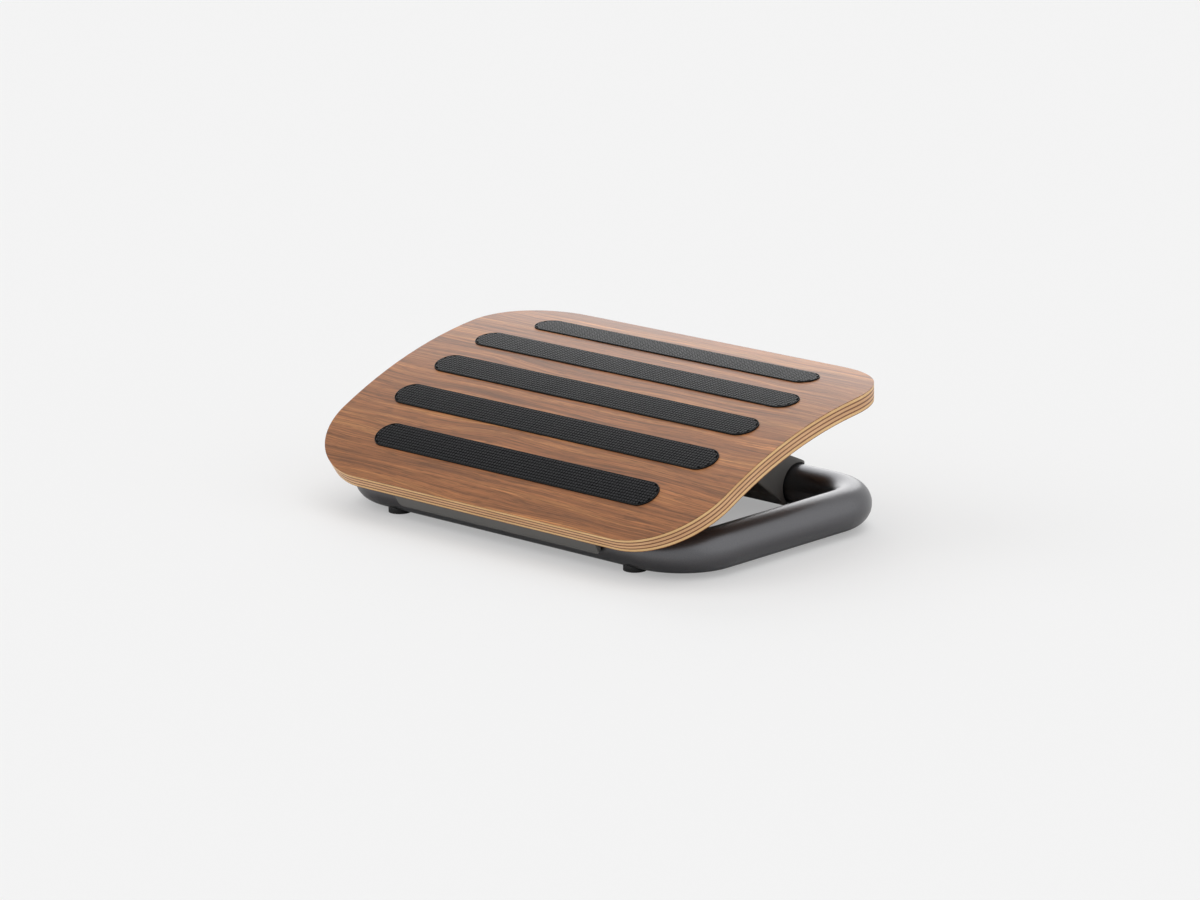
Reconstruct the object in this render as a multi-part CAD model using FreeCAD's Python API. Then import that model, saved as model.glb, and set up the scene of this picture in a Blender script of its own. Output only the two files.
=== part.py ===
import FreeCAD, Part
import math
import os

# Tilting footrest: a curved plywood platform with rubber strips on a bent steel tube base.
# Millimetres and degrees. X to the user's right, Y away from the user, Z up.
# The origin is on the floor, in the middle of the footprint.
# A lean or slope is an angle from straight up, positive towards the user (-Y).

V = FreeCAD.Vector

# Platform
platform_width = 450.0
platform_length = 322.0          # along the curved top face, front to rear
platform_radius = 489.4          # top face, curved about a line parallel to X
front_slope = 36.0               # slope of the top face at its front edge
corner_radius = 74.0             # of the outline, laid out flat
veneer = 0.6
light_ply = 2.4
dark_ply = 1.3
light_ply_count = 4

# Rubber strips, from front to rear
strip_count = 5
end_strip_length = 326.8         # the first and the last
middle_strip_length = 372.6
strip_width = 29.4
first_strip_centre = 53.3        # from the front edge, along the top face
last_strip_centre = 51.1         # from the rear edge
strip_proud = 1.2
pocket_gap = 0.1

# Base tube
tube_diameter = 37.0
tube_wall = 2.0
frame_width = 429.0              # outside
tube_spacing = 245.0             # front tube to rear tube, centre to centre
bend_radius = 46.0               # centre line
ground_clearance = 2.9
weld_gap = 0.4
splice_length = 60.0
splice_gap = 0.1

# Feet
foot_diameter = 20.0
foot_to_bend = 1.0               # from the foot's edge to where the tube starts to bend
foot_screw_diameter = 4.0
foot_screw_head = 7.6
foot_screw_head_height = 2.0
foot_screw_length = 9.0
foot_recess = 0.7                # from the floor to the screw's head

# Saddles that turn on the tubes
saddle_wall = 2.0
liner_wall = 1.0
running_gap = 0.3                # between two pieces that move against each other
seat_gap = 0.05                  # between two pieces that stay together
saddle_wrap = 79.0               # how far the front saddle reaches round the tube, from its neck
prop_wrap = 84.0                 # and how far the prop's does, towards the user
wrap_rear = 125.0                # both, away from the user
front_saddle_length = 236.0
front_saddle_setback = 29.0      # along the top face, from the front edge
front_neck = 7.0                 # tube surface to the underside of the platform
saddle_corner = 4.0              # of the front saddle's front lip, seen from the user
liner_inset = 3.0
liner_lap = 3.0                  # degrees that a liner stops short of its saddle's lips

# Prop that carries the rear of the platform
prop_width = 222.0
prop_lean = 60.2
prop_tip_radius = 6.5
prop_skin = 3.0
prop_rib = 3.0
prop_corner = 16.0               # of its rear lip, seen from above
prop_bays = 5
bar_diameter = 8.0

# Motion
tilt_range = 12.0                # the platform lowers by this from the pose drawn
prop_swing = 14.4                # and the prop then leans forward by this

# Guide rails under the platform
rail_thickness = 3.0
rail_flange = 22.0
rail_flange_thickness = 2.5
rail_gap = 0.8                   # between the prop's end and the rail
rail_rim = 4.5                   # metal round the slot
rail_overrun = 14.0              # length of flange past each end of the slot
rail_screw_margin = 1.0          # from the screw's head to the end of the flange
glide_wall = 1.0
glide_lap = 1.9                  # of the glide's head over the edge of the slot
glide_head_thickness = 2.5
glide_head_gap = 0.7             # from that head to the flange

# Fasteners
screw_diameter = 5.0
screw_head_diameter = 9.5
screw_head_height = 2.8
screw_clearance = 0.2
insert_wall = 1.6
insert_length = 9.0
glide_screw_diameter = 4.0
glide_screw_head = 7.0
glide_screw_head_height = 2.0
glide_screw_length = 12.0
saddle_screw_count = 4
saddle_screw_inset = 23.5        # from the saddle's end

# How far a shape that only cuts reaches past what it cuts
overcut = 2.0

# Worked out from the sizes above
tube_radius = tube_diameter / 2
bore_radius = tube_radius + running_gap
saddle_inner = bore_radius + liner_wall + seat_gap
saddle_outer = saddle_inner + saddle_wall
frame_half_width = frame_width / 2 - tube_radius
axle_height = ground_clearance + tube_radius
core = light_ply_count * light_ply + (light_ply_count - 1) * dark_ply
platform_thickness = core + 2 * veneer
underside_radius = platform_radius - platform_thickness
strip_pitch = (platform_length - first_strip_centre - last_strip_centre) / (strip_count - 1)
saddle_lean = front_slope - math.degrees(front_saddle_setback / platform_radius)
rear_slope = front_slope - math.degrees(platform_length / platform_radius)
bar_radius = bar_diameter / 2
glide_radius = bar_radius + seat_gap + glide_wall
slot_half_width = glide_radius + running_gap
glide_head_radius = slot_half_width + glide_lap
bar_depth = rail_flange_thickness + glide_head_gap + glide_head_radius
rail_inner_x = prop_width / 2 + rail_gap
rail_outer_x = rail_inner_x + rail_thickness


def leaning(angle):
    """Unit vector that leans towards the user by this angle from straight up."""
    return V(0, -math.sin(math.radians(angle)), math.cos(math.radians(angle)))


# The platform's arc hangs from the front tube; both are placed from the front tube first
reach_to_centre = underside_radius - front_neck - tube_radius
front_edge_ahead = platform_radius * math.sin(math.radians(front_slope))
front_edge_ahead -= reach_to_centre * math.sin(math.radians(saddle_lean))
rear_lip = saddle_outer * math.sin(math.radians(min(90.0, wrap_rear - prop_lean)))
footprint_length = front_edge_ahead + tube_spacing + max(tube_radius, rear_lip)
front_axle = V(0, front_edge_ahead - footprint_length / 2, axle_height)
rear_axle = front_axle + V(0, tube_spacing, 0)
arc_centre = front_axle - leaning(saddle_lean) * reach_to_centre


def slope_at(along):
    """Slope of the platform at a distance from its front edge, along the top face."""
    return front_slope - math.degrees(along / platform_radius)


def on_platform(along, depth):
    """Point below the top face of the platform by this depth."""
    return arc_centre + leaning(slope_at(along)) * (platform_radius - depth)


def turned(point, pivot, angle):
    """Point turned about the X direction at the pivot; positive lifts what lies behind it."""
    return pivot + FreeCAD.Rotation(V(1, 0, 0), angle).multVec(point - pivot)


def find_prop_length():
    """Length at which the bar lies at its depth below the underside, at rest."""
    to_axle = rear_axle - arc_centre
    along = to_axle.dot(leaning(prop_lean))
    target = underside_radius - bar_depth
    return -along + math.sqrt(along ** 2 - to_axle.dot(to_axle) + target ** 2)


prop_length = find_prop_length()
prop_taper = math.degrees(math.asin((saddle_outer - prop_tip_radius) / prop_length))
bar_rest = rear_axle + leaning(prop_lean) * prop_length


def bar_in_platform(share):
    """Where the bar lies in the platform's own frame, for a share of the tilt."""
    bar = turned(bar_rest, rear_axle, prop_swing * share)
    return turned(bar, front_axle, tilt_range * share)


# Shapes

def face_of(edges):
    return Part.Face(Part.Wire(edges))


def polygon(points):
    return Part.Face(Part.makePolygon(points + [points[0]]))


def ring_sector(centre, inner, outer, lean_a, lean_b, x_a, x_b):
    """Part of a ring about the X direction, between two leans and two places along X."""
    start = V(x_a, centre.y, centre.z)
    middle = (lean_a + lean_b) / 2
    outer_arc = [start + leaning(a) * outer for a in (lean_a, middle, lean_b)]
    inner_arc = [start + leaning(a) * inner for a in (lean_b, middle, lean_a)]
    edges = [Part.Arc(*outer_arc).toShape(),
             Part.LineSegment(outer_arc[2], inner_arc[0]).toShape(),
             Part.Arc(*inner_arc).toShape(),
             Part.LineSegment(inner_arc[2], outer_arc[0]).toShape()]
    return face_of(edges).extrude(V(x_b - x_a, 0, 0))


def rod(centre, radius, x_a, x_b):
    return Part.makeCylinder(radius, x_b - x_a, V(x_a, centre.y, centre.z), V(1, 0, 0))


def platform_shell(top_depth, bottom_depth):
    return ring_sector(arc_centre, platform_radius - bottom_depth, platform_radius - top_depth,
                       front_slope, rear_slope, -platform_width / 2, platform_width / 2)


def stadium_prism(along, length, width):
    """Upright bar with round ends, square to the platform at this distance along it."""
    up = leaning(slope_at(along))
    back = V(0, up.z, -up.y)
    radius = width / 2
    straight = length / 2 - radius
    base = on_platform(along, platform_thickness)

    def at(x, y):
        return base + V(x, 0, 0) + back * y

    edges = [Part.LineSegment(at(-straight, -radius), at(straight, -radius)).toShape(),
             Part.Arc(at(straight, -radius), at(straight + radius, 0), at(straight, radius)).toShape(),
             Part.LineSegment(at(straight, radius), at(-straight, radius)).toShape(),
             Part.Arc(at(-straight, radius), at(-straight - radius, 0), at(-straight, -radius)).toShape()]
    return face_of(edges).extrude(up * (platform_thickness + strip_proud + overcut))


def corner_cutter(side, end):
    """What lies outside one rounded corner: ruled between an arc under and one over the platform."""
    along = corner_radius if end < 0 else platform_length - corner_radius
    half_angle = corner_radius / platform_radius
    up = leaning(slope_at(along))
    bulge = platform_radius * (1 - math.cos(half_angle))
    past = bulge + overcut
    sideways = V(side * corner_radius, 0, 0)
    outward = V(side * past, 0, 0)
    wires = []
    for radius in (underside_radius - past, platform_radius + past):
        back = V(0, up.z, -up.y) * (end * radius * math.sin(half_angle))
        beyond = V(0, up.z, -up.y) * (end * past)
        centre = arc_centre + up * (radius * math.cos(half_angle))
        centre.x = side * (platform_width / 2 - corner_radius)
        outside = [centre + back, centre + back + beyond, centre + sideways + outward + back + beyond,
                   centre + sideways + outward, centre + sideways]
        edges = [quarter_ellipse(centre, sideways, back)]
        edges += [Part.LineSegment(a, b).toShape() for a, b in zip(outside, outside[1:])]
        wires.append(Part.Wire(edges))
    return Part.makeLoft(wires, True, True)


def quarter_ellipse(centre, first, second):
    """Curve from centre + first to centre + second."""
    half = math.sqrt(0.5)
    quarter = Part.Arc(V(1, 0, 0), V(half, half, 0), V(0, 1, 0)).toShape()
    normal = first.cross(second).normalize()
    return quarter.transformGeometry(FreeCAD.Matrix(first.x, second.x, normal.x, centre.x,
                                                    first.y, second.y, normal.y, centre.y,
                                                    first.z, second.z, normal.z, centre.z,
                                                    0, 0, 0, 1))


def screw(seat, axis, diameter, head_diameter, head_height, length):
    """Round head on the seat and a shank that goes along the axis."""
    head = Part.makeCylinder(head_diameter / 2, head_height, seat, axis * -1)
    shank = Part.makeCylinder(diameter / 2, length, seat, axis)
    return head.fuse(shank).removeSplitter()


def export(name, shape):
    shape.exportStep("parts/%s.step" % name)


def cut_all(shape, tools):
    return shape.cut(Part.makeCompound(tools))


# Base

def bent_tube(radius):
    """Closed loop of round bar, open by the weld gap in the middle of the front run."""
    front, rear, side = front_axle.y, rear_axle.y, frame_half_width
    bend = bend_radius
    edges = []
    here = V(weld_gap / 2, front, axle_height)
    for sx, sy in ((1, -1), (1, 1), (-1, 1), (-1, -1)):
        corner = V(sx * side, front if sy < 0 else rear, axle_height)
        into = V(1, 0, 0) * sx if sx * sy < 0 else V(0, sy, 0)
        out = V(0, -sy, 0) if sx * sy < 0 else V(-sx, 0, 0)
        start = corner - into * bend
        end = corner + out * bend
        middle = corner + (out - into) * bend * (1 - math.sqrt(0.5))
        edges.append(Part.LineSegment(here, start).toShape())
        edges.append(Part.Arc(start, middle, end).toShape())
        here = end
    edges.append(Part.LineSegment(here, V(-weld_gap / 2, front, axle_height)).toShape())
    path = Part.Wire(edges)
    ring = Part.Face(Part.Wire(Part.makeCircle(radius, V(weld_gap / 2, front, axle_height), V(1, 0, 0))))
    return path.makePipe(ring)


def foot_places():
    x = frame_half_width - bend_radius - foot_to_bend - foot_diameter / 2
    for end, axle in (("front", front_axle), ("rear", rear_axle)):
        for side, sx in (("left", -1), ("right", 1)):
            yield "foot_%s_%s" % (end, side), V(sx * x, axle.y, 0)


def foot_screw(place):
    return screw(place + V(0, 0, foot_recess + foot_screw_head_height), V(0, 0, 1), foot_screw_diameter,
                 foot_screw_head, foot_screw_head_height, foot_screw_length)


def make_base():
    tube = bent_tube(tube_radius).cut(bent_tube(tube_radius - tube_wall))
    holes = []
    screws = []
    for name, place in foot_places():
        clear = foot_screw_diameter / 2 + seat_gap
        holes.append(Part.makeCylinder(clear, axle_height, place))
        post = Part.makeCylinder(foot_diameter / 2, axle_height, place)
        post = post.cut(rod(place + V(0, 0, axle_height), tube_radius + seat_gap,
                            place.x - foot_diameter, place.x + foot_diameter))
        pocket = Part.makeCylinder(foot_screw_head / 2 + seat_gap, foot_recess + foot_screw_head_height, place)
        export(name, post.cut(pocket).cut(Part.makeCylinder(clear, axle_height, place)))
        screws.append(foot_screw(place))
    export("frame_tube", tube.cut(Part.makeCompound(holes)))
    export("foot_screws", Part.makeCompound(screws))
    splice = rod(front_axle, tube_radius - tube_wall - splice_gap, -splice_length / 2, splice_length / 2)
    bore = rod(front_axle, tube_radius - 2 * tube_wall - splice_gap, -splice_length, splice_length)
    export("frame_splice", splice.cut(bore))


# Fasteners that go up into the platform; each is a seat for the head and a direction

def saddle_screw_axes():
    up = leaning(saddle_lean)
    first = saddle_screw_inset - front_saddle_length / 2
    step = -2 * first / (saddle_screw_count - 1)
    for number in range(saddle_screw_count):
        yield front_axle + up * (saddle_inner + screw_head_height) + V(first + number * step, 0, 0), up


def rail_span():
    """Leans, about the arc centre, of the two ends of the bar's path."""
    leans = []
    for share in (0, 1):
        arm = bar_in_platform(share) - arc_centre
        leans.append(math.degrees(math.atan2(-arm.y, arm.z)))
    return leans


def rail_screw_axes():
    low, high = rail_span()
    past_slot = slot_half_width + rail_overrun - screw_head_diameter / 2 - rail_screw_margin
    margin = math.degrees(past_slot / underside_radius)
    for side in (-1, 1):
        x = side * (rail_outer_x + (rail_flange - rail_thickness) / 2)
        for lean in (low - margin, high + margin):
            up = leaning(lean)
            seat_radius = underside_radius - rail_flange_thickness - seat_gap
            yield arc_centre + up * seat_radius + V(x, 0, 0), up


def bored(seat, up, radius, below=0.0):
    """Round bar from the underside of the platform, or from below it, to the depth of an insert."""
    mouth = arc_centre + up * (underside_radius - below) + V(seat.x, 0, 0)
    return Part.makeCylinder(radius, insert_length + below, mouth, up)


def make_fasteners(name, axes):
    """Screws and the threaded inserts that they go into."""
    thread = screw_diameter / 2 + seat_gap
    screws = []
    inserts = []
    for seat, up in axes:
        reach = underside_radius - (seat - arc_centre).dot(up)
        screws.append(screw(seat, up, screw_diameter, screw_head_diameter, screw_head_height,
                            reach + insert_length - screw_clearance))
        inserts.append(bored(seat, up, thread + insert_wall).cut(bored(seat, up, thread)))
    export(name + "_screws", Part.makeCompound(screws))
    export(name + "_inserts", Part.makeCompound(inserts))


# Platform

def platform_holes():
    radius = screw_diameter / 2 + 2 * seat_gap + insert_wall
    axes = list(saddle_screw_axes()) + list(rail_screw_axes())
    return [bored(seat, up, radius, veneer) for seat, up in axes]


def strip_places():
    for number in range(strip_count):
        at_end = number in (0, strip_count - 1)
        yield first_strip_centre + number * strip_pitch, end_strip_length if at_end else middle_strip_length


def make_platform():
    corners = [corner_cutter(side, end) for side in (-1, 1) for end in (-1, 1)]
    holes = platform_holes()
    pockets = [stadium_prism(along, length + 2 * pocket_gap, strip_width + 2 * pocket_gap)
               for along, length in strip_places()]
    layers = [("walnut_face_veneer", veneer)]
    for number in range(1, light_ply_count + 1):
        layers.append(("light_ply_%d" % number, light_ply))
        if number < light_ply_count:
            layers.append(("dark_ply_%d" % number, dark_ply))
    layers.append(("walnut_back_veneer", veneer))
    depth = 0.0
    for name, thickness in layers:
        ply = cut_all(platform_shell(depth, depth + thickness), corners)
        if depth + thickness > platform_thickness - insert_length:
            ply = cut_all(ply, holes)
        if depth == 0.0:
            ply = cut_all(ply, pockets)
        export(name, ply)
        depth += thickness
    for number, (along, length) in enumerate(strip_places()):
        strip = platform_shell(-strip_proud, veneer).common(stadium_prism(along, length, strip_width))
        export("grip_strip_%d" % (number + 1), strip)


# Saddles

def saddle_mouth(axle, lean, wrap, length):
    """The open side of a saddle, as a wedge about the tube."""
    return ring_sector(axle, seat_gap, 2 * saddle_outer, lean + wrap, lean + 360 - wrap_rear, -length, length)


def liner(axle, lean, wrap, length):
    half = length / 2 - liner_inset
    return ring_sector(axle, bore_radius, bore_radius + liner_wall, lean - wrap_rear + liner_lap,
                       lean + wrap - liner_lap, -half, half)


def round_corner(body, corner, inward, onward, radius, deep):
    """Rounds a corner whose edges run inward and onward, cutting along their cross product."""
    start = corner + inward * radius
    end = corner + onward * radius
    middle = corner + (inward + onward) * radius * (1 - math.sqrt(0.5))
    beyond = corner - (inward + onward) * overcut
    outside = [end, end - inward * overcut, beyond, start - onward * overcut, start]
    edges = [Part.Arc(start, middle, end).toShape()]
    edges += [Part.LineSegment(a, b).toShape() for a, b in zip(outside, outside[1:])]
    return body.cut(face_of(edges).extrude(inward.cross(onward) * deep))


def round_front_corners(body, half):
    """Rounds the two lower corners of the front saddle's front lip, seen from the user."""
    up = leaning(saddle_lean)
    back = V(0, up.z, -up.y)
    lip = front_axle + up * (saddle_outer * math.cos(math.radians(saddle_wrap)))
    for side in (-1, 1):
        corner = lip - back * (saddle_outer + overcut) + V(side * half, 0, 0)
        body = round_corner(body, corner, V(-side, 0, 0), up, saddle_corner,
                            side * 2 * (saddle_wall + overcut))
    return body


def make_front_saddle():
    up = leaning(saddle_lean)
    back = V(0, up.z, -up.y)
    half = front_saddle_length / 2
    start = V(-half, front_axle.y, front_axle.z)
    tall = front_neck + 2 * tube_radius
    block = polygon([start - back * saddle_outer, start + back * saddle_outer,
                     start + back * saddle_outer + up * tall, start - back * saddle_outer + up * tall])
    body = block.extrude(V(front_saddle_length, 0, 0))
    body = body.fuse(rod(front_axle, saddle_outer, -half, half))
    body = body.common(rod(arc_centre, underside_radius, -half, half))
    body = body.cut(rod(front_axle, saddle_inner, -half - overcut, half + overcut))
    body = body.cut(saddle_mouth(front_axle, saddle_lean, saddle_wrap, front_saddle_length)).removeSplitter()
    body = round_front_corners(body, half)
    for seat, axis in saddle_screw_axes():
        head = Part.makeCylinder(screw_head_diameter / 2 + screw_clearance, saddle_inner, seat, axis * -1)
        shank = Part.makeCylinder(screw_diameter / 2 + screw_clearance, tube_diameter, seat, axis)
        body = body.cut(head).cut(shank)
    export("front_saddle", body)
    export("front_saddle_liner", liner(front_axle, saddle_lean, saddle_wrap, front_saddle_length))
    make_fasteners("saddle", saddle_screw_axes())


# Prop

def prop_side():
    """The prop's side: the saddle ring drawn out to the round tip by two tangents."""
    start = V(-prop_width / 2, 0, 0)
    axle = rear_axle + start
    tip = bar_rest + start
    forward = leaning(prop_lean)
    upper = leaning(prop_lean - 90 + prop_taper)
    lower = leaning(prop_lean + 90 - prop_taper)
    nose = [tip + way * prop_tip_radius for way in (upper, forward, lower)]
    ring = [axle + lower * saddle_outer, axle - forward * saddle_outer, axle + upper * saddle_outer]
    return face_of([Part.LineSegment(ring[2], nose[0]).toShape(), Part.Arc(*nose).toShape(),
                    Part.LineSegment(nose[2], ring[0]).toShape(), Part.Arc(*ring).toShape()])


def prop_pockets():
    """Bays under the prop, between its ribs, that leave a skin on top."""
    forward = leaning(prop_lean)
    near = saddle_outer + prop_rib
    far = prop_length - prop_tip_radius - prop_rib
    skin = saddle_outer - prop_skin
    open_side = saddle_outer + overcut
    taper = math.radians(prop_taper)

    def beside(distance, across, offset):
        """Point off the prop's centre line, on a line that tapers as its outside does."""
        rise = (offset - distance * math.sin(taper)) / math.cos(taper)
        return rear_axle + forward * distance + across * rise

    above = leaning(prop_lean - 90)
    below = leaning(prop_lean + 90)
    shape = [beside(near, above, skin), beside(far, above, skin),
             beside(far, below, open_side), beside(near, below, open_side)]
    width = (prop_width - (prop_bays + 1) * prop_rib) / prop_bays
    tools = []
    for number in range(prop_bays):
        x = -prop_width / 2 + prop_rib + number * (width + prop_rib)
        tools.append(polygon([p + V(x, 0, 0) for p in shape]).extrude(V(width, 0, 0)))
    return tools


def round_rear_corners(body, half, lip, radius):
    """Rounds the two corners of the prop's rear lip, or of its liner's, seen from above."""
    for side in (-1, 1):
        corner = rear_axle + V(side * half, lip, 0)
        body = round_corner(body, corner, V(-side, 0, 0), V(0, -1, 0), radius,
                            side * (saddle_outer + overcut))
    return body


def make_prop():
    half = prop_width / 2
    body = prop_side().extrude(V(prop_width, 0, 0))
    body = body.cut(rod(rear_axle, saddle_inner, -half - overcut, half + overcut))
    body = body.cut(saddle_mouth(rear_axle, prop_lean, prop_wrap, prop_width))
    body = body.cut(rod(bar_rest, bar_radius + seat_gap, -half - overcut, half + overcut))
    body = cut_all(body, prop_pockets())
    export("rear_prop", round_rear_corners(body, half, rear_lip, prop_corner))
    sleeve = liner(rear_axle, prop_lean, prop_wrap, prop_width)
    sleeve_lip = (bore_radius + liner_wall) * math.sin(math.radians(wrap_rear - liner_lap - prop_lean))
    export("rear_prop_liner", round_rear_corners(sleeve, half - liner_inset, sleeve_lip,
                                                 prop_corner - liner_inset))
    bar_half = rail_outer_x + running_gap
    bar = rod(bar_rest, bar_radius, -bar_half, bar_half)
    glide_screws = []
    for name, side in (("left", -1), ("right", 1)):
        tip = bar_rest + V(side * bar_half, 0, 0)
        out = V(side, 0, 0)
        clear = glide_screw_diameter / 2 + seat_gap
        bar = bar.cut(Part.makeCylinder(clear, glide_screw_length, tip, out * -1))
        sleeve_start = bar_rest + out * (prop_width / 2 + running_gap)
        sleeve = Part.makeCylinder(glide_radius, bar_half - half - running_gap, sleeve_start, out)
        sleeve = sleeve.fuse(Part.makeCylinder(glide_head_radius, glide_head_thickness, tip, out))
        sleeve = sleeve.cut(Part.makeCylinder(bar_radius + seat_gap, bar_half - half, sleeve_start, out))
        sleeve = sleeve.cut(Part.makeCylinder(clear, 2 * glide_head_thickness, tip, out))
        export("glide_" + name, sleeve)
        seat = tip + out * glide_head_thickness
        glide_screws.append(screw(seat, out * -1, glide_screw_diameter, glide_screw_head,
                                  glide_screw_head_height, glide_screw_length))
    export("prop_bar", bar)
    export("glide_screws", Part.makeCompound(glide_screws))


# Guide rails

def slot_band(extra, x_a, x_b):
    """The bar's path under the platform, widened; an arc through three places of the bar."""
    path = [bar_in_platform(share) for share in (0, 0.5, 1)]
    arc = Part.Arc(*path).toShape()
    circle = arc.Curve
    centre = V(0, circle.Center.y, circle.Center.z)
    leans = []
    for point in (path[0], path[2]):
        arm = point - centre
        leans.append(math.degrees(math.atan2(-arm.y, arm.z)))
    low, high = min(leans), max(leans)
    band = ring_sector(centre, circle.Radius - extra, circle.Radius + extra, low, high, x_a, x_b)
    for point in (path[0], path[2]):
        band = band.fuse(rod(point, extra, x_a, x_b))
    return band.removeSplitter()


def make_rails():
    low, high = rail_span()
    margin = math.degrees((slot_half_width + rail_overrun) / underside_radius)
    for name, side in (("left", -1), ("right", 1)):
        web = sorted((side * rail_inner_x, side * rail_outer_x))
        wide = sorted((side * rail_inner_x, side * (rail_inner_x + rail_flange)))
        flange = ring_sector(arc_centre, underside_radius - rail_flange_thickness, underside_radius,
                             low - margin, high + margin, *wide)
        inner_margin = math.degrees((slot_half_width + rail_rim) / underside_radius)
        plate = ring_sector(arc_centre, underside_radius - bar_depth, underside_radius,
                            low - inner_margin, high + inner_margin, *web)
        rail = flange.fuse(plate).fuse(slot_band(slot_half_width + rail_rim, *web))
        rail = rail.common(rod(arc_centre, underside_radius, *wide)).removeSplitter()
        rail = rail.cut(slot_band(slot_half_width, *web))
        for seat, axis in rail_screw_axes():
            if seat.x * side > 0:
                hole = Part.makeCylinder(screw_diameter / 2 + screw_clearance, rail_flange, seat - axis, axis)
                rail = rail.cut(hole)
        export("guide_rail_" + name, rail)
    make_fasteners("rail", rail_screw_axes())


os.makedirs("parts", exist_ok=True)
make_base()
make_platform()
make_front_saddle()
make_prop()
make_rails()

path_drop = [round(underside_radius - (bar_in_platform(k / 8) - arc_centre).Length, 2) for k in range(9)]
print("prop length %.2f, saddle lean %.2f, rear slope %.2f" % (prop_length, saddle_lean, rear_slope))
print("front axle y %.3f, rear axle y %.3f, height %.3f" % (front_axle.y, rear_axle.y, axle_height))
print("platform: front edge", on_platform(0, 0), "rear edge", on_platform(platform_length, 0))
print("bar depth below the underside over the tilt", path_drop)
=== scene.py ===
# %% [markdown]
# A tilting footrest, finished in Blender.
#
# The real object is a curved plywood platform on a bent steel tube. The construction model already
# holds every piece at its real size, so this lesson gives those pieces their finishes, models the
# ones whose looks need more shape than the construction has, and lights the whole like a product
# photo. Everything is in metres: X runs to the user's right, Y away from the user, Z up.

# %% Load the construction
import math
import bmesh
import bpy
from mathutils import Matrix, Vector


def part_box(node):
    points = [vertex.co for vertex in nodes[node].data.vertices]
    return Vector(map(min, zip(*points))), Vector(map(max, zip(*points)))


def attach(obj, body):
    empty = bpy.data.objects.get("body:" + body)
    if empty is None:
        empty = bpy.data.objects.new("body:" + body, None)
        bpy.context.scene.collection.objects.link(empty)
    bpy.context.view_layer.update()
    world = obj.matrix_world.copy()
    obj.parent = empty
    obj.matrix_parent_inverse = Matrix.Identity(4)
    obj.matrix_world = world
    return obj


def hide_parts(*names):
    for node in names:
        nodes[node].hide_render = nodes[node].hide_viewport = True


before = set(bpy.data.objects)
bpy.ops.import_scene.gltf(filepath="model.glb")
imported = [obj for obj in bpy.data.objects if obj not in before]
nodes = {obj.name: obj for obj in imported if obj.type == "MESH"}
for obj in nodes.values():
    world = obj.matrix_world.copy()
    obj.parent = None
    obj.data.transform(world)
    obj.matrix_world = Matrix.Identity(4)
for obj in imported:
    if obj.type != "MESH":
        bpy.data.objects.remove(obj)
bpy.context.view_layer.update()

# %% [markdown]
# A few small helpers serve the whole lesson. Sizes are easier to think of in millimetres. Colours
# are written as the hex codes a designer would pick, which are sRGB, and Blender's sockets want
# linear light. And every material is a tree of nodes, so one function adds a node of any kind, sets
# its properties and fills its sockets, either with a value or with another node's output. A socket
# goes by its name or its number. A Map Range node has the value at 0, the range it comes from at 1
# and 2, and the range it is brought to at 3 and 4. Both ranges are 0 to 1 where nothing is given.

# %% Helpers
def mm(size):
    """Metres, from millimetres."""
    return size / 1000


def colour(code):
    """Linear RGBA of an sRGB hex code."""
    channels = [int(code[start:start + 2], 16) / 255 for start in (0, 2, 4)]
    return (*[c / 12.92 if c <= 0.04045 else ((c + 0.055) / 1.055) ** 2.4 for c in channels], 1.0)


def fill(tree, made, sockets):
    """Fills sockets, by name or number, with values, outputs or nodes (their first live output)."""
    for name, value in sockets.items():
        live = [s for s in made.inputs if s.name == name and s.enabled]
        socket = live[0] if live else made.inputs[name]
        if isinstance(value, bpy.types.Node):
            value = next(s for s in value.outputs if s.enabled)
        if isinstance(value, bpy.types.NodeSocket):
            tree.links.new(value, socket)
        else:
            socket.default_value = value


def node(tree, kind, sockets=None, stops=None, **settings):
    """Adds a shader node; stops are a colour ramp's places and hex codes, its two ends first."""
    made = tree.nodes.new("ShaderNode" + kind)
    for name, value in settings.items():
        setattr(made, name, value)
    fill(tree, made, sockets or {})
    for number, (place, code) in enumerate(stops or []):
        ramp = made.color_ramp.elements
        stop = ramp[number] if number < 2 else ramp.new(place)
        stop.position = place
        stop.color = colour(code)
    return made


def blank(name):
    """A new material, its node tree and its shader."""
    material = bpy.data.materials.new(name)
    material.use_nodes = True
    return material, material.node_tree, material.node_tree.nodes["Principled BSDF"]


print("the middle grey 808080 is %.3f in linear light" % colour("808080")[0])

# %% [markdown]
# The camera comes first, so that each render can be laid beside the photo. It stands well back with
# a long lens, a little above the platform and round to the user's right, as product photos are shot.

# %% Camera
view_turn = math.radians(42.4)
view_tilt = math.radians(14.38)
view_distance = 3.9106
view_target = Vector((0.0616, -0.0683, 0.0825))
towards_camera = Vector((math.sin(view_turn) * math.cos(view_tilt),
                         -math.cos(view_turn) * math.cos(view_tilt), math.sin(view_tilt)))
camera = bpy.data.objects.new("camera", bpy.data.cameras.new("camera"))
camera.data.sensor_width = 36.0
camera.data.lens = 137.58
camera.location = view_target + towards_camera * view_distance
camera.rotation_euler = (-towards_camera).to_track_quat("-Z", "Y").to_euler()
bpy.context.scene.collection.objects.link(camera)
bpy.context.scene.camera = camera
print("camera at", tuple(round(c, 3) for c in camera.location))

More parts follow.
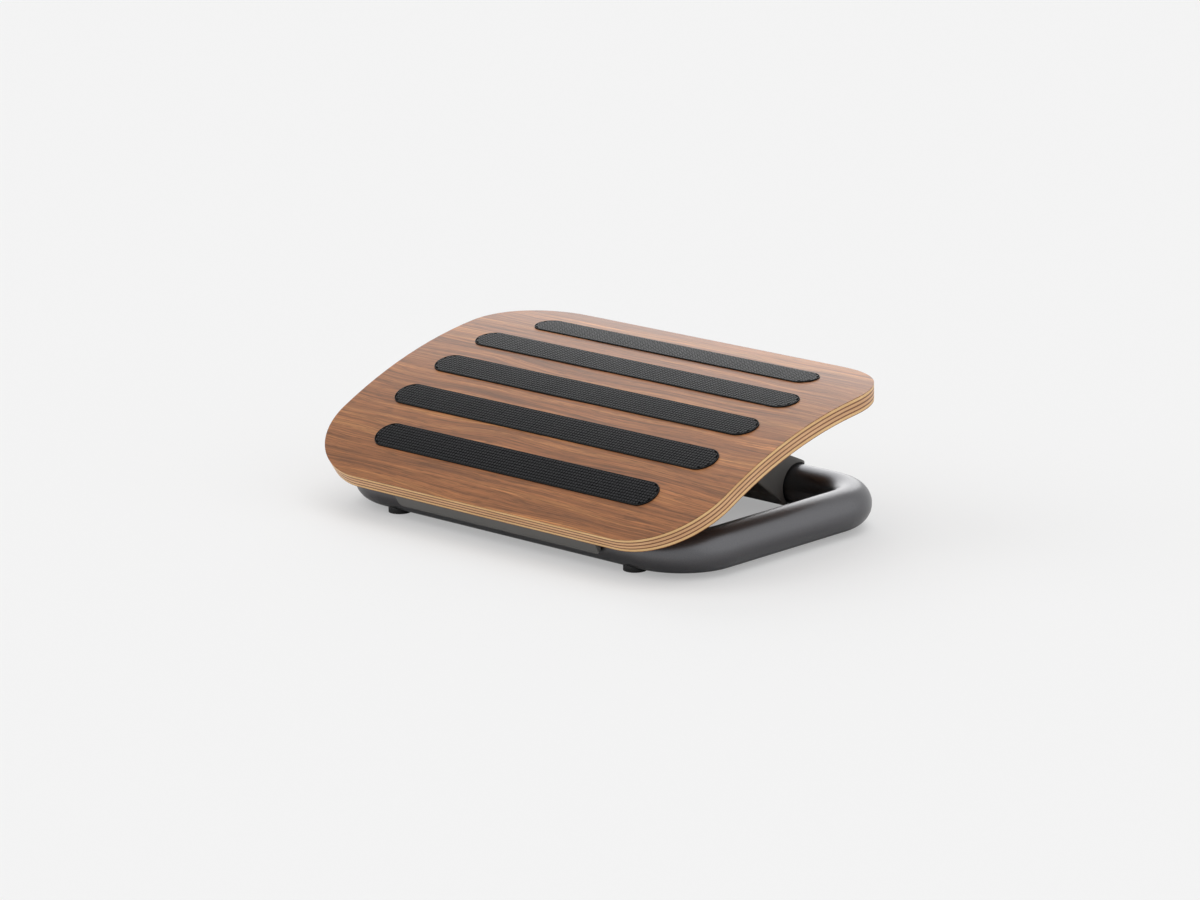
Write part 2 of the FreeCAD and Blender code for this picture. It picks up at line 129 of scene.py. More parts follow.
# %% [markdown]
# The light is a plain studio's: some from all round, and four soft lamps. A broad one overhead gives
# the most. The key lamp stands low on the user's side, to the left, and throws a faint shadow to the
# right of the base, which the fill lamp on the right opens. The last stands behind on the left, low
# over the floor. It draws the bright lines along the tube and the sheen on the far end of the
# platform. Lamps at a great distance light the floor evenly, so suns with a wide disc stand in for
# soft boxes. Together they give a white surface about the brightness 1, so a colour renders about as
# it is written. Product photos are cut out on a bright ground. So the world looks nearly white, but
# only to the camera and to mirrored rays, so that metal shows the same ground. It lights nothing by
# that.

# %% World and lamps
world_light = 0.48
world_seen = 0.9
lamps = (  # name, direction it shines from, strength, width of its disc in degrees
    ("overhead", (0.0, 0.0, 1.0), 0.95, 60.0),
    ("key", (-0.62, -0.60, 0.47), 0.8, 50.0),
    ("fill", (0.80, 0.30, 0.50), 0.55, 84.0),
    ("back", (-0.65, 0.64, 0.40), 0.93, 46.0),
)


def ray_kinds(tree):
    """Shares that are 1 for the camera's own rays, and for mirrored or refracted ones."""
    rays = node(tree, "LightPath").outputs
    mirrored = node(tree, "Math", {0: rays["Is Glossy Ray"], 1: rays["Is Transmission Ray"]},
                    operation="ADD", use_clamp=True)
    return rays["Is Camera Ray"], mirrored


world = bpy.data.worlds.new("studio")
world.use_nodes = True
world_tree = world.node_tree
direct, mirrored = ray_kinds(world_tree)
seen = node(world_tree, "Math", {0: direct, 1: mirrored}, operation="MAXIMUM")
level = node(world_tree, "MapRange", {0: seen, 3: world_light, 4: world_seen})
fill(world_tree, world_tree.nodes["Background"], {"Color": colour("ffffff"), "Strength": level})
bpy.context.scene.world = world

for name, source, strength, disc in lamps:
    lamp = bpy.data.objects.new(name, bpy.data.lights.new(name, "SUN"))
    lamp.data.energy = strength
    lamp.data.angle = math.radians(disc)
    lamp.rotation_euler = Vector(source).to_track_quat("Z", "Y").to_euler()
    bpy.context.scene.collection.objects.link(lamp)

bpy.context.scene.view_settings.view_transform = "Standard"
print("lamps:", ", ".join(name for name, *_ in lamps))

# %% [markdown]
# The floor is one large square, wide enough that its far edge melts into the bright world behind. A
# backdrop that curves up would hide that edge too, but would stand in the way of views from behind.

# %% Floor
floor_half = 12.0

floor_shape = bmesh.new()
bmesh.ops.create_grid(floor_shape, x_segments=1, y_segments=1, size=floor_half)
floor_mesh = bpy.data.meshes.new("floor")
floor_shape.to_mesh(floor_mesh)
floor_shape.free()
floor = bpy.data.objects.new("floor", floor_mesh)
bpy.context.scene.collection.objects.link(floor)
print("the floor is %.0f m across" % (2 * floor_half))

# %% [markdown]
# Its paint is plain and pale. Part of the colour is given off rather than reflected, again only for
# the camera and for mirrored rays, so it comes out bright and the shadows stay. Under the base and
# close around it the floor gives off less, which keeps the dark line where the tube nearly touches
# it. The distance from the base's rounded outline, worked out by the nodes, tells how much. Mirrored
# rays see the floor near the base as it is lit, and more and more of the glow further out. Stronger
# lamps would make the floor as bright, but they would burn out the object as well.

# %% Floor paint
floor_grey = "eeeeee"
floor_glow = 0.52
glow_under_base = 0.4
base_corner = mm(64.5)
glow_from = base_corner - mm(14)
glow_full = base_corner + mm(6)
mirror_fade = mm(250)

floor_paint, floor_tree, floor_shader = blank("matt_studio_floor")
fill(floor_tree, floor_shader, {"Base Color": colour(floor_grey), "Roughness": 0.9,
                                "Specular IOR Level": 0.0})

# How far a place lies outside the rectangle through the middles of the base's four round corners.
# The metre added to the rectangle's height keeps height out of the measure.
tube_low, tube_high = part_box("frame_tube")
core = (tube_high - tube_low) / 2 - Vector((base_corner, base_corner, -1.0))
place = node(floor_tree, "VectorMath", {0: node(floor_tree, "TexCoord").outputs["Object"],
                                        1: (tube_low + tube_high) / 2}, operation="SUBTRACT")
place = node(floor_tree, "VectorMath", {0: place}, operation="ABSOLUTE")
beyond = node(floor_tree, "VectorMath", {0: place, 1: core}, operation="SUBTRACT")
beyond = node(floor_tree, "VectorMath", {0: beyond, 1: (0.0, 0.0, 0.0)}, operation="MAXIMUM")
beyond = node(floor_tree, "VectorMath", {0: beyond}, operation="LENGTH").outputs["Value"]

glow = node(floor_tree, "MapRange", {0: beyond, 1: glow_from, 2: glow_full, 3: glow_under_base,
                                     4: floor_glow}, interpolation_type="SMOOTHSTEP")
far_glow = node(floor_tree, "MapRange", {0: beyond, 1: base_corner, 2: base_corner + mirror_fade,
                                         4: floor_glow}, interpolation_type="SMOOTHSTEP")
direct, mirrored = ray_kinds(floor_tree)
share = node(floor_tree, "Math", {0: direct, 1: glow}, operation="MULTIPLY")
share = node(floor_tree, "Math", {0: mirrored, 1: far_glow, 2: share}, operation="MULTIPLY_ADD")
given_off = node(floor_tree, "Emission", {"Color": colour(floor_grey), "Strength": 1.0})
both = node(floor_tree, "MixShader", {0: share, 1: floor_shader, 2: given_off})
fill(floor_tree, floor_tree.nodes["Material Output"], {"Surface": both})
floor_mesh.materials.append(floor_paint)
print("the floor's glow drops from %.2f to %.2f under the base" % (floor_glow, glow_under_base))

# %% [markdown]
# The platform is pressed from flat veneers, so its grain and layers are straight only on the sheet
# laid out flat. Its faces are arcs about one line parallel to X. From that line, a point's angle
# gives its place along the sheet and its distance gives its layer. The line's place follows from
# the face veneer's box, which the sheet's front edge and the crest of its arc both touch. A UV map
# would lay one face flat, but this lays out every layer and the cut edges at once.

# %% The platform rolled out flat
platform_radius = mm(489.4)
front_slope = math.radians(36.0)
face_low, face_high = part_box("walnut_face_veneer")
arc_centre = Vector((0, face_low.y + platform_radius * math.sin(front_slope),
                     face_high.z - platform_radius))


def on_platform(x, along, height):
    """Point on the curved platform: along it from the front edge, and above its face."""
    lean = front_slope - along / platform_radius
    reach = platform_radius + height
    return arc_centre + Vector((x, -math.sin(lean) * reach, math.cos(lean) * reach))


def laid_flat(tree):
    """X along the grain, Y across it, Z up through the layers."""
    place = node(tree, "SeparateXYZ", {0: node(tree, "TexCoord").outputs["Object"]})
    ahead = node(tree, "Math", {0: arc_centre.y, 1: place.outputs["Y"]}, operation="SUBTRACT")
    above = node(tree, "Math", {0: place.outputs["Z"], 1: arc_centre.z}, operation="SUBTRACT")
    lean = node(tree, "Math", {0: ahead, 1: above}, operation="ARCTAN2")
    across = node(tree, "Math", {0: lean, 1: platform_radius}, operation="MULTIPLY")
    arm = node(tree, "CombineXYZ", {"Y": ahead, "Z": above})
    layer = node(tree, "VectorMath", {0: arm}, operation="LENGTH").outputs["Value"]
    return node(tree, "CombineXYZ", {"X": place.outputs["X"], "Y": across, "Z": layer})


print("the arc's middle line is at", tuple(round(c, 4) for c in arc_centre))

# %% [markdown]
# Wood, paint and rubber all vary a little from place to place. One helper does most of that work: it
# gives noise whose blotches have real sizes, so that a grain can be long and thin. Pictures of real
# surfaces would be quicker, but noise never repeats and can follow the curve of the platform.

# %% Speckles
def speckle(tree, place, long, wide, deep=1.0, **sockets):
    """Noise whose blotches are this long, wide and deep, in metres."""
    stretched = node(tree, "Mapping", {"Vector": place, "Scale": (1 / long, 1 / wide, 1 / deep)})
    return node(tree, "TexNoise", {"Vector": stretched, "Scale": 1.0, "Detail": 2.0, **sockets})


print("speckles 1 mm wide take a noise scale of %.0f" % (1 / mm(1)))

# %% [markdown]
# Walnut veneer, sliced and lacquered satin. Its figure is growth rings cut at a shallow angle, which
# gives long streaks along X that drift a few millimetres up and down, from hair lines to bands of a
# finger's width. Over them lie short dark pores and now and then a gum streak. So: one slow noise
# bends the sheet, streaks of three widths are read from the bent sheet, and the pores are noise cut
# off high. The gum streaks are thin ellipses with a soft edge. Real pores are a fifth of a millimetre
# wide and hair lines not much more, so both are drawn coarser, to show. Blender's wave texture would
# give lines at once, but far too evenly for wood. Lacquer has an IOR of about 1.5, but this thin coat
# over open pores mirrors less than that, so it is lowered.

# %% Walnut
gum_streaks = (  # middle across the platform and from its front edge, length, width
    (mm(152), mm(15), mm(66), mm(2.0)),
    (mm(-60), mm(26), mm(48), mm(1.4)),
    (mm(-138), mm(86), mm(40), mm(1.2)),
    (mm(96), mm(190), mm(56), mm(1.5)),
)
grain_drift = mm(9)
any_depth = 1000.0  # gum runs through the whole veneer


def walnut(name, shift):
    """Brown streaks of three widths, short dark pores and a soft sheen."""
    material, tree, shader = blank(name)
    sheet = node(tree, "VectorMath", {0: laid_flat(tree), 1: shift}, operation="ADD")
    drift = speckle(tree, sheet, mm(170), mm(45), Detail=1.0)
    drift = node(tree, "MapRange", {0: drift, 3: -grain_drift, 4: grain_drift})
    drift = node(tree, "CombineXYZ", {"Y": drift})
    bent = node(tree, "VectorMath", {0: sheet, 1: drift}, operation="ADD")
    bands = speckle(tree, bent, mm(420), mm(8), Detail=5.0, Roughness=0.66)
    streaks = speckle(tree, bent, mm(140), mm(2.6), Detail=4.0, Roughness=0.75)
    hairs = speckle(tree, bent, mm(80), mm(1.1), Detail=3.0, Roughness=0.7)
    pores = speckle(tree, bent, mm(11), mm(0.5), Detail=0.0)
    tone = node(tree, "ValToRGB", {0: bands}, [(0.28, "623e25"), (0.72, "b47d4b"), (0.5, "8f5b36")])
    shade = node(tree, "MapRange", {0: streaks, 1: 0.3, 2: 0.7, 3: 0.66, 4: 1.31})
    fine = node(tree, "MapRange", {0: hairs, 1: 0.33, 2: 0.67, 3: 0.62, 4: 1.34})
    wood = node(tree, "Mix", {"Factor": 1.0, "A": tone, "B": shade},
                data_type="RGBA", blend_type="MULTIPLY")
    wood = node(tree, "Mix", {"Factor": 1.0, "A": wood, "B": fine},
                data_type="RGBA", blend_type="MULTIPLY")
    dots = node(tree, "MapRange", {0: pores, 1: 0.60, 2: 0.72, 4: 0.45})
    wood = node(tree, "Mix", {"Factor": dots, "A": wood, "B": colour("402818")}, data_type="RGBA")
    for x, along, long, wide in gum_streaks:
        spot = node(tree, "Mapping", {"Vector": bent, "Location": (x, along, 0.0),
                                      "Scale": (long / 2, wide / 2, any_depth)}, vector_type="TEXTURE")
        gum = node(tree, "TexGradient", {"Vector": spot}, gradient_type="SPHERICAL")
        gum = node(tree, "MapRange", {0: gum, 2: 0.5, 4: 0.8})
        wood = node(tree, "Mix", {"Factor": gum, "A": wood, "B": colour("3a2a1c")}, data_type="RGBA")
    gloss = node(tree, "MapRange", {0: hairs, 3: 0.38, 4: 0.48})
    relief = node(tree, "Math", {0: fine, 1: dots}, operation="SUBTRACT")
    bump = node(tree, "Bump", {"Height": relief, "Strength": 0.25, "Distance": mm(0.05)})
    fill(tree, shader, {"Base Color": wood, "Roughness": gloss, "IOR": 1.34, "Normal": bump})
    return material


face_walnut = walnut("satin_lacquered_walnut_face", (0.0, 0.0, 0.0))
back_walnut = walnut("satin_lacquered_walnut_back", (0.7, 0.4, 0.3))
print("walnut finishes:", face_walnut.name, back_walnut.name)

# %% [markdown]
# The edge shows the plywood's layers. Four thick plies of pale birch run with the face grain and
# show fine lines along the edge, the outer two golden, the inner two a little pinker. Between them lie
# three thin cross plies, cut across their fibres, which drink the lacquer and turn dark. Birch fibres
# are under a tenth of a millimetre wide, so their lines are drawn at half of one, to show. One painted
# stripe pattern would do for the edge, but each layer is a piece of its own, so each gets its finish.

# %% Plywood
def ply(name, pale, dark, long, thin):
    """A pale or dark layer with fine lines along it, sealed and nearly matt."""
    material, tree, shader = blank(name)
    sheet = laid_flat(tree)
    lines = speckle(tree, sheet, long, long, thin, Detail=3.0, Roughness=0.6)
    clouds = speckle(tree, sheet, mm(60), mm(60), mm(4))
    both = node(tree, "Math", {0: lines, 1: clouds}, operation="ADD")
    share = node(tree, "MapRange", {0: both, 1: 0.75, 2: 1.25})
    wood = node(tree, "Mix", {"Factor": share, "A": colour(pale), "B": colour(dark)},
                data_type="RGBA")
    bump = node(tree, "Bump", {"Height": lines, "Strength": 0.3, "Distance": mm(0.05)})
    gloss = node(tree, "MapRange", {0: lines, 3: 0.42, 4: 0.55})
    fill(tree, shader, {"Base Color": wood, "Roughness": gloss, "IOR": 1.5, "Normal": bump})
    return material


outer_birch = ply("sealed_birch_outer_ply", "ecc68f", "d4a66d", mm(16), mm(0.5))
inner_birch = ply("sealed_birch_inner_ply", "e3b688", "ca9a6c", mm(16), mm(0.5))
cross_edge = ply("sealed_cross_ply", "844f2b", "6c3f20", mm(5), mm(1.5))
print("plywood finishes:", outer_birch.name, inner_birch.name, cross_edge.name)

# %% [markdown]
# The base is steel tube with a satin metallic powder coat: dark grey with fine metal flake, which
# mirrors its surroundings softly, in its own grey. That is a metal with a dark colour and a middling
# roughness, with the faint orange peel that powder leaves when it flows out in the oven. Real flake
# is under a tenth of a millimetre and wouldn't show, so it is drawn at about half a millimetre. A
# plain grey paint would mirror the lamps in white and look like plastic. The rails under the platform
# do have such a plain coat, in matt black.

# %% Powder coat on steel
def powder_coat(name, pale, dark, metallic, rough):
    """An even satin coat, softly mirroring where it holds metal, with a faint orange peel."""
    material, tree, shader = blank(name)
    place = node(tree, "TexCoord").outputs["Object"]
    flake = speckle(tree, place, mm(0.6), mm(0.6), mm(0.6), Detail=1.0)
    peel = speckle(tree, place, mm(2.2), mm(2.2), mm(2.2), Detail=1.0)
    share = node(tree, "MapRange", {0: flake, 1: 0.35, 2: 0.65})
    paint = node(tree, "Mix", {"Factor": share, "A": colour(dark), "B": colour(pale)},
                 data_type="RGBA")
    gloss = node(tree, "MapRange", {0: peel, 3: rough - 0.03, 4: rough + 0.04})
    bump = node(tree, "Bump", {"Height": peel, "Strength": 0.12, "Distance": mm(0.05)})
    fill(tree, shader, {"Base Color": paint, "Metallic": metallic, "Roughness": gloss, "Normal": bump})
    return material


frame_coat = powder_coat("satin_metallic_powder_coat", "656567", "5d5d60", 0.9, 0.33)
rail_coat = powder_coat("matt_black_powder_coat", "2c2c2e", "252527", 0.0, 0.55)
print("coats:", frame_coat.name, rail_coat.name)

# %% [markdown]
# The saddle and the prop are moulded glass-filled nylon, a dull grey. The mould's fine spark texture
# scatters the light, so highlights are wide and soft. The liners are black acetal from a smoother
# mould, so they shine a little more, and the feet are soft rubber, the dullest of the three. A spark
# texture has a grain of a tenth or two of a millimetre. It and the others are drawn at about a
# millimetre, to show. Modelled, such a grain would take millions of faces, and a bump map shows it
# as well.

# %% Moulded plastics and foot rubber
def moulded(name, pale, dark, grain, rough, depth):
    """An even tone with wide, soft highlights, broken by the mould's grain."""
    material, tree, shader = blank(name)
    place = node(tree, "TexCoord").outputs["Object"]
    texture = speckle(tree, place, grain, grain, grain)
    clouds = speckle(tree, place, mm(35), mm(35), mm(35))
    tone = node(tree, "Mix", {"Factor": clouds, "A": colour(dark), "B": colour(pale)},
                data_type="RGBA")
    gloss = node(tree, "MapRange", {0: texture, 3: rough - 0.05, 4: rough + 0.05})
    bump = node(tree, "Bump", {"Height": texture, "Strength": 0.35, "Distance": depth})
    fill(tree, shader, {"Base Color": tone, "Roughness": gloss, "IOR": 1.5, "Normal": bump})
    return material


saddle_nylon = moulded("spark_textured_nylon", "706f6d", "666563", mm(0.8), 0.6, mm(0.06))
liner_acetal = moulded("moulded_acetal", "1d1d1f", "161618", mm(1.5), 0.42, mm(0.02))
foot_rubber = moulded("moulded_rubber", "1b1b1c", "141415", mm(0.9), 0.65, mm(0.05))
print("moulded finishes:", saddle_nylon.name, liner_acetal.name, foot_rubber.name)

# %% [markdown]
# The strips are a harder rubber. Soles keep the tops of the studs slightly polished, while the grooves
# between them stay dull. The grooves are also given a nearly black colour, painted shade for the light
# they trap. Two materials would need the faces sorted between them. The height above the platform's
# face, read from the rolled-out sheet, tells one from the other without that. The rubber's own grain
# is finer than a tenth of a millimetre, and is drawn at just under one, to show.

# %% Strip rubber
def studded_rubber(name, top, groove_painted_shade, groove_height, top_height):
    """Tops with a dark sheen above dull grooves, coloured nearly black as painted shade."""
    material, tree, shader = blank(name)
    sheet = laid_flat(tree)
    height = node(tree, "SeparateXYZ", {0: sheet}).outputs["Z"]
    share = node(tree, "MapRange", {0: height, 1: platform_radius + groove_height,
                                    2: platform_radius + top_height})
    grain = speckle(tree, sheet, mm(0.8), mm(0.8), mm(0.8))
    # painted shade: the lower a point lies below the studs' tops, the darker its colour, down to the
    # grooves' near black
    tone = node(tree, "Mix", {"Factor": share, "A": colour(groove_painted_shade), "B": colour(top)},
                data_type="RGBA")
    gloss = node(tree, "MapRange", {0: share, 3: 0.9, 4: 0.46})
    bump = node(tree, "Bump", {"Height": grain, "Strength": 0.3, "Distance": mm(0.03)})
    fill(tree, shader, {"Base Color": tone, "Roughness": gloss, "IOR": 1.5, "Specular IOR Level": 0.15,
                         "Normal": bump})
    return material


# the second colour is the grooves' painted shade
strip_rubber = studded_rubber("studded_rubber", "101114", "030303", mm(0.6), mm(1.15))
print("strip finish:", strip_rubber.name)

# %% [markdown]
# The fasteners and the bar are bare metals. Drawn steel has fine lines along it, zinc plate a cloudy
# and slightly blue grain, and turned brass fine rings in its warm yellow. All of that shows as a
# roughness that changes from place to place. The lines are drawn up to half a millimetre wide,
# coarser than a die or a tool leaves them, to show on so small a piece. The shader's Anisotropic
# socket would stretch the highlights too, but hardly shows on pieces of this size.

# %% Bare metals
def bare_metal(name, pale, dark, grain, rough):
    """Bright metal with a gloss that changes along its lines or clouds."""
    material, tree, shader = blank(name)
    place = node(tree, "TexCoord").outputs["Object"]
    lines = speckle(tree, place, *grain, Detail=3.0)
    tone = node(tree, "Mix", {"Factor": lines, "A": colour(dark), "B": colour(pale)},
                data_type="RGBA")
    gloss = node(tree, "MapRange", {0: lines, 3: rough - 0.08, 4: rough + 0.1})
    bump = node(tree, "Bump", {"Height": lines, "Strength": 0.15, "Distance": mm(0.02)})
    fill(tree, shader, {"Base Color": tone, "Metallic": 1.0, "Roughness": gloss, "Normal": bump})
    return material


drawn_steel = bare_metal("drawn_steel", "c4c3c0", "aeadab", (mm(30), mm(0.5), mm(0.5)), 0.28)
zinc_plate = bare_metal("zinc_plated_steel", "c8c9cc", "b0b2b6", (mm(1), mm(1), mm(1)), 0.36)
turned_brass = bare_metal("turned_brass", "cfa964", "b78f4c", (mm(1), mm(1), mm(0.3)), 0.34)
print("metals:", drawn_steel.name, zinc_plate.name, turned_brass.name)

# %% [markdown]
# Each construction piece now gets its finish. Its shape is left alone. Small pieces that are seen
# only from close by, such as the threaded inserts, stay as they are apart from that.

# %% Finishes on the construction pieces
finishes = {
    face_walnut: ["walnut_face_veneer"],
    back_walnut: ["walnut_back_veneer"],
    outer_birch: ["light_ply_1", "light_ply_4"],
    inner_birch: ["light_ply_2", "light_ply_3"],
    cross_edge: [name for name in nodes if name.startswith("dark_ply")],
    frame_coat: ["frame_tube"],
    rail_coat: ["guide_rail_left", "guide_rail_right"],
    saddle_nylon: ["front_saddle", "rear_prop"],
    liner_acetal: ["front_saddle_liner", "rear_prop_liner", "glide_left", "glide_right"],
    foot_rubber: [name for name in nodes if name.startswith("foot_") and name != "foot_screws"],
    strip_rubber: [name for name in nodes if name.startswith("grip_strip")],
    drawn_steel: ["frame_splice", "prop_bar"],
    zinc_plate: ["foot_screws", "saddle_screws", "rail_screws", "glide_screws"],
    turned_brass: ["saddle_inserts", "rail_inserts"],
}
for material, names in finishes.items():
    for name in names:
        for slot in nodes[name].material_slots:
            slot.material = material
print("finished", sum(len(names) for names in finishes.values()), "of", len(nodes), "nodes")

# %% [markdown]
# Moulded, pressed and cut pieces have no knife-sharp edges: a small round catches the light and tells
# the eye what a piece is made of. These pieces start from the construction's own shape. Its triangles
# are merged back to whole faces, the sharp edges are rounded over, and the round parts are shaded
# smooth. The new piece then stands in for the old one and moves with the same body. A Bevel modifier
# would round the edges too, but the operator's result can be counted and checked at once.

# %% Pieces with eased edges
smooth_limit = math.radians(32)
flat_limit = math.radians(0.5)
same_place = mm(0.002)


def merged(node_name):
    """The construction's shape of a node, with its triangles merged back to whole faces."""
    shape = bmesh.new()
    shape.from_mesh(nodes[node_name].data)
    bmesh.ops.remove_doubles(shape, verts=shape.verts, dist=same_place)
    bmesh.ops.dissolve_limit(shape, angle_limit=flat_limit, verts=shape.verts, edges=shape.edges)
    return shape


def add_piece(name, shape, material, body, node_name):
    """Makes an object of the shape that stands in for a node and moves with its body."""
    for face in shape.faces:
        face.smooth = True
    mesh = bpy.data.meshes.new(name)
    shape.to_mesh(mesh)
    shape.free()
    mesh.set_sharp_from_angle(angle=smooth_limit)
    mesh.materials.append(material)
    piece = bpy.data.objects.new(name, mesh)
    bpy.context.scene.collection.objects.link(piece)
    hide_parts(node_name)
    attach(piece, body)
    return piece


def eased(node_name, radius, material, body):
    """Rounds a node's sharp edges over by a radius."""
    shape = merged(node_name)
    sharp = [edge for edge in shape.edges
             if edge.is_manifold and edge.calc_face_angle() > smooth_limit]
    bmesh.ops.bevel(shape, geom=sharp, offset=radius, affect="EDGES", segments=2, profile=0.5,
                    material=-1, clamp_overlap=True)
    open_edges = sum(not edge.is_manifold for edge in shape.edges)
    print("%s: %d edges rounded by %.2f mm, %d faces, %d open edges"
          % (node_name, len(sharp), 1000 * radius, len(shape.faces), open_edges))
    return add_piece(node_name + "_eased", shape, material, body, node_name)


eased("front_saddle", mm(0.4), saddle_nylon, "platform")
eased("rear_prop", mm(0.4), saddle_nylon, "prop")
for side in ("left", "right"):
    eased("guide_rail_" + side, mm(0.3), rail_coat, "platform")
    eased("glide_" + side, mm(0.25), liner_acetal, "prop")
    for end in ("front", "rear"):
        eased("foot_%s_%s" % (end, side), mm(0.4), foot_rubber, "base")

# %% [markdown]
# The screws get what a hand would look for: a rounded head with a hexagonal socket. The flat end of
# each head is found by its radius. Its edge is rounded, a smaller face is set into it, that face's
# corners are moved onto a hexagon, and it is pushed down into the head. A cut with a hexagonal bar
# would do too, but it leaves slivers where its corners meet the round face.

# %% Screws
head_round = 0.07  # of the head's diameter, as is the next
flat_reach = 0.5 - head_round
socket_start = 0.55  # of the hexagon's width, just outside its flats
socket_draft = mm(0.01)
nearly = 0.1  # how far the corners of a round face may stray, as a share of its radius


def hexagon_reach(angle, across):
    """Distance from the middle of a hexagon to its outline, for its size across the flats."""
    step = math.radians(60)
    return across / 2 / math.cos(angle % step - step / 2)


def round_faces(shape, radius):
    """The flat round faces of nearly this radius; a ring round a shank isn't one."""
    found = []
    for face in shape.faces:
        middle = face.calc_center_median()
        reach = [(vert.co - middle).length for vert in face.verts]
        if radius * (1 - nearly) < min(reach) and max(reach) < radius * (1 + nearly):
            found.append(face)
    return found


def socket_screws(node_name, head, across, deep, body):
    """Gives every screw of a node a socket; head is its diameter, across the hexagon's width."""
    shape = merged(node_name)
    rims = [edge for cap in round_faces(shape, head / 2) for edge in cap.edges]
    bmesh.ops.bevel(shape, geom=rims, offset=head * head_round, affect="EDGES", segments=3,
                    profile=0.5, material=-1)
    caps = round_faces(shape, head * flat_reach)
    for cap in caps:
        bmesh.ops.inset_region(shape, faces=[cap],
                               thickness=head * flat_reach - across * socket_start)
        middle = cap.calc_center_median()
        first = (cap.verts[0].co - middle).normalized()
        second = cap.normal.cross(first)
        for vert in cap.verts:
            arm = vert.co - middle
            angle = math.atan2(arm.dot(second), arm.dot(first))
            outward = first * math.cos(angle) + second * math.sin(angle)
            vert.co = middle + outward * hexagon_reach(angle, across)
        bmesh.ops.inset_region(shape, faces=[cap], thickness=socket_draft, depth=-deep)
    print("%s: %d sockets" % (node_name, len(caps)))
    return add_piece(node_name + "_socketed", shape, zinc_plate, body, node_name)


socket_screws("rail_screws", mm(9.5), mm(3.0), mm(1.6), "platform")
socket_screws("foot_screws", mm(7.6), mm(2.5), mm(1.1), "base")
socket_screws("glide_screws", mm(7.0), mm(2.5), mm(1.1), "prop")

# %% [markdown]
# The rubber strips are moulded flat and pressed into pockets in the veneer. Each is a bar with round
# ends, a fine rim and a sunk field. The bar starts as a circle whose halves are drawn apart, which
# gives true round ends at once. Extrude, bevel and inset give it its body, and cuts along it let it
# bend later.

# %% Rubber bars
strip_width = mm(29.4)
strip_depth = mm(1.8)
strip_edge = mm(0.35)
rim_width = mm(0.6)
field_drop = mm(0.9)
field_draft = mm(0.2)
rows_that_bend = 6


def upper(shape):
    """The face on top of a flat bar."""
    return max(shape.faces, key=lambda face: face.normal.z * face.calc_area())


def lift(shape, extruded, height):
    """Moves the points that an extrusion made up by a height."""
    points = [part for part in extruded["geom"] if isinstance(part, bmesh.types.BMVert)]
    bmesh.ops.translate(shape, verts=points, vec=(0, 0, height))


def rubber_bar(straight):
    """Flat bar with round ends, a rounded edge and a sunk field, its face at the height zero."""
    shape = bmesh.new()
    bmesh.ops.create_circle(shape, cap_ends=True, radius=strip_width / 2, segments=50)
    for vert in shape.verts:
        vert.co.x += math.copysign(straight / 2, vert.co.x)
        vert.co.z = -strip_depth
    lift(shape, bmesh.ops.extrude_face_region(shape, geom=shape.faces[:]), strip_depth)
    bmesh.ops.recalc_face_normals(shape, faces=shape.faces[:])
    bmesh.ops.bevel(shape, geom=upper(shape).edges[:], offset=strip_edge, affect="EDGES", segments=3,
                    profile=0.5, material=-1)
    bmesh.ops.inset_region(shape, faces=[upper(shape)], thickness=rim_width - strip_edge)
    bmesh.ops.inset_region(shape, faces=[upper(shape)], thickness=field_draft, depth=-field_drop)
    for cut in range(1, rows_that_bend):
        bmesh.ops.bisect_plane(shape, geom=shape.verts[:] + shape.edges[:] + shape.faces[:],
                               plane_co=(0, strip_width * (cut / rows_that_bend - 0.5), 0),
                               plane_no=(0, 1, 0))
    return shape


print("bars %.1f mm wide, fields %.1f mm deep" % (1000 * strip_width, 1000 * field_drop))

# %% [markdown]
# The field is filled with low square studs that grip the sole. A bump map would do from afar, but
# real studs catch the light along their edges and hold up close. On the real strip a stud is about
# two millimetres long, which is lost in a picture of the whole, so it is drawn larger: nine rows fill
# the field. The studs start as a grid, drawn in to the field's outline and thickened to a mat. Its
# faces are each inset for the groove, and once more while they rise, which slopes the studs' sides.

# %% Studs
stud_rows = 9
half_groove = mm(0.27)
mat_depth = mm(0.3)
mat_gap = mm(0.25)
mat_reach = strip_width / 2 - rim_width - mat_gap


def from_middle(point, straight):
    """Nearest point on a bar's middle line, and the way from there to the point."""
    on_line = Vector((max(-straight / 2, min(straight / 2, point.x)), 0, 0))
    return on_line, Vector((point.x, point.y, 0)) - on_line


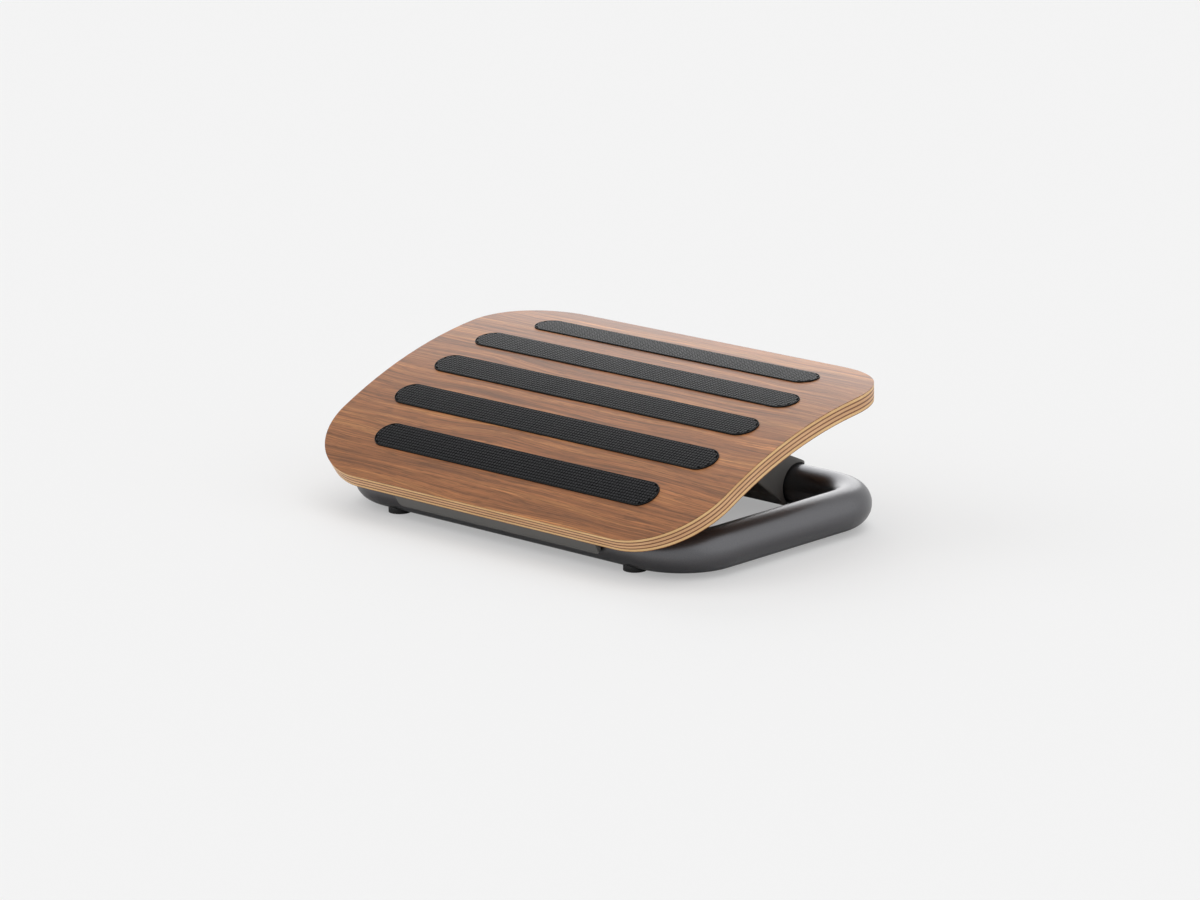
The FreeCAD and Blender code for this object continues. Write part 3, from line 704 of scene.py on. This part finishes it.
def stud_mat(straight):
    """Mat of raised squares that fills the sunk field, and the number of its studs."""
    mat = bmesh.new()
    columns = round(stud_rows * (straight / 2 + mat_reach) / mat_reach)
    bmesh.ops.create_grid(mat, x_segments=columns, y_segments=stud_rows, size=1.0)
    bmesh.ops.scale(mat, verts=mat.verts, vec=(straight / 2 + mat_reach, mat_reach, 1))
    outside = []
    for face in mat.faces:
        on_line, arm = from_middle(face.calc_center_median(), straight)
        if arm.length > mat_reach - half_groove:
            outside.append(face)
    bmesh.ops.delete(mat, geom=outside, context="FACES")
    for vert in mat.verts:
        on_line, arm = from_middle(vert.co, straight)
        if arm.length > mat_reach:
            vert.co = on_line + arm.normalized() * mat_reach
    lift(mat, bmesh.ops.extrude_face_region(mat, geom=mat.faces[:]), mat_depth)
    bmesh.ops.translate(mat, verts=mat.verts, vec=(0, 0, -field_drop - mat_depth / 2))
    bmesh.ops.recalc_face_normals(mat, faces=mat.faces[:])
    # every face that looks up becomes a stud
    studs = [face for face in mat.faces if face.normal.z > 0.9]
    bmesh.ops.inset_individual(mat, faces=studs, thickness=half_groove)
    bmesh.ops.inset_individual(mat, faces=studs, thickness=half_groove,
                               depth=field_drop - mat_depth / 2)
    return mat, len(studs)


print("a stud every %.2f mm" % (1000 * 2 * mat_reach / stud_rows))

# %% [markdown]
# Each strip is finished flat, and then every point is carried to the curved platform, so bars and
# studs bend with it and stay even. Where a strip lies is read from the construction's own strip. A
# Simple Deform modifier bends as well, but the arc's own formula puts a strip right into its pocket.

# %% Strips on the platform
strip_proud = mm(1.2)


def on_strip(shape, along):
    """Carries a flat bar's points to the platform."""
    for vert in shape.verts:
        vert.co = on_platform(vert.co.x, along + vert.co.y, strip_proud + vert.co.z)


for name in sorted(name for name in nodes if name.startswith("grip_strip")):
    low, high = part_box(name)
    middle = (low + high) / 2 - arc_centre
    strip_along = (front_slope - math.atan2(-middle.y, middle.z)) * platform_radius
    straight = high.x - low.x - strip_width
    bar = rubber_bar(straight)
    mat, stud_count = stud_mat(straight)
    mat_mesh = bpy.data.meshes.new("stud_mat")
    mat.to_mesh(mat_mesh)
    mat.free()
    bar.from_mesh(mat_mesh)
    bpy.data.meshes.remove(mat_mesh)
    on_strip(bar, strip_along)
    add_piece(name + "_moulded", bar, strip_rubber, "platform", name)
    print("%s: %.1f mm from the front edge, %d studs" % (name, 1000 * strip_along, stud_count))
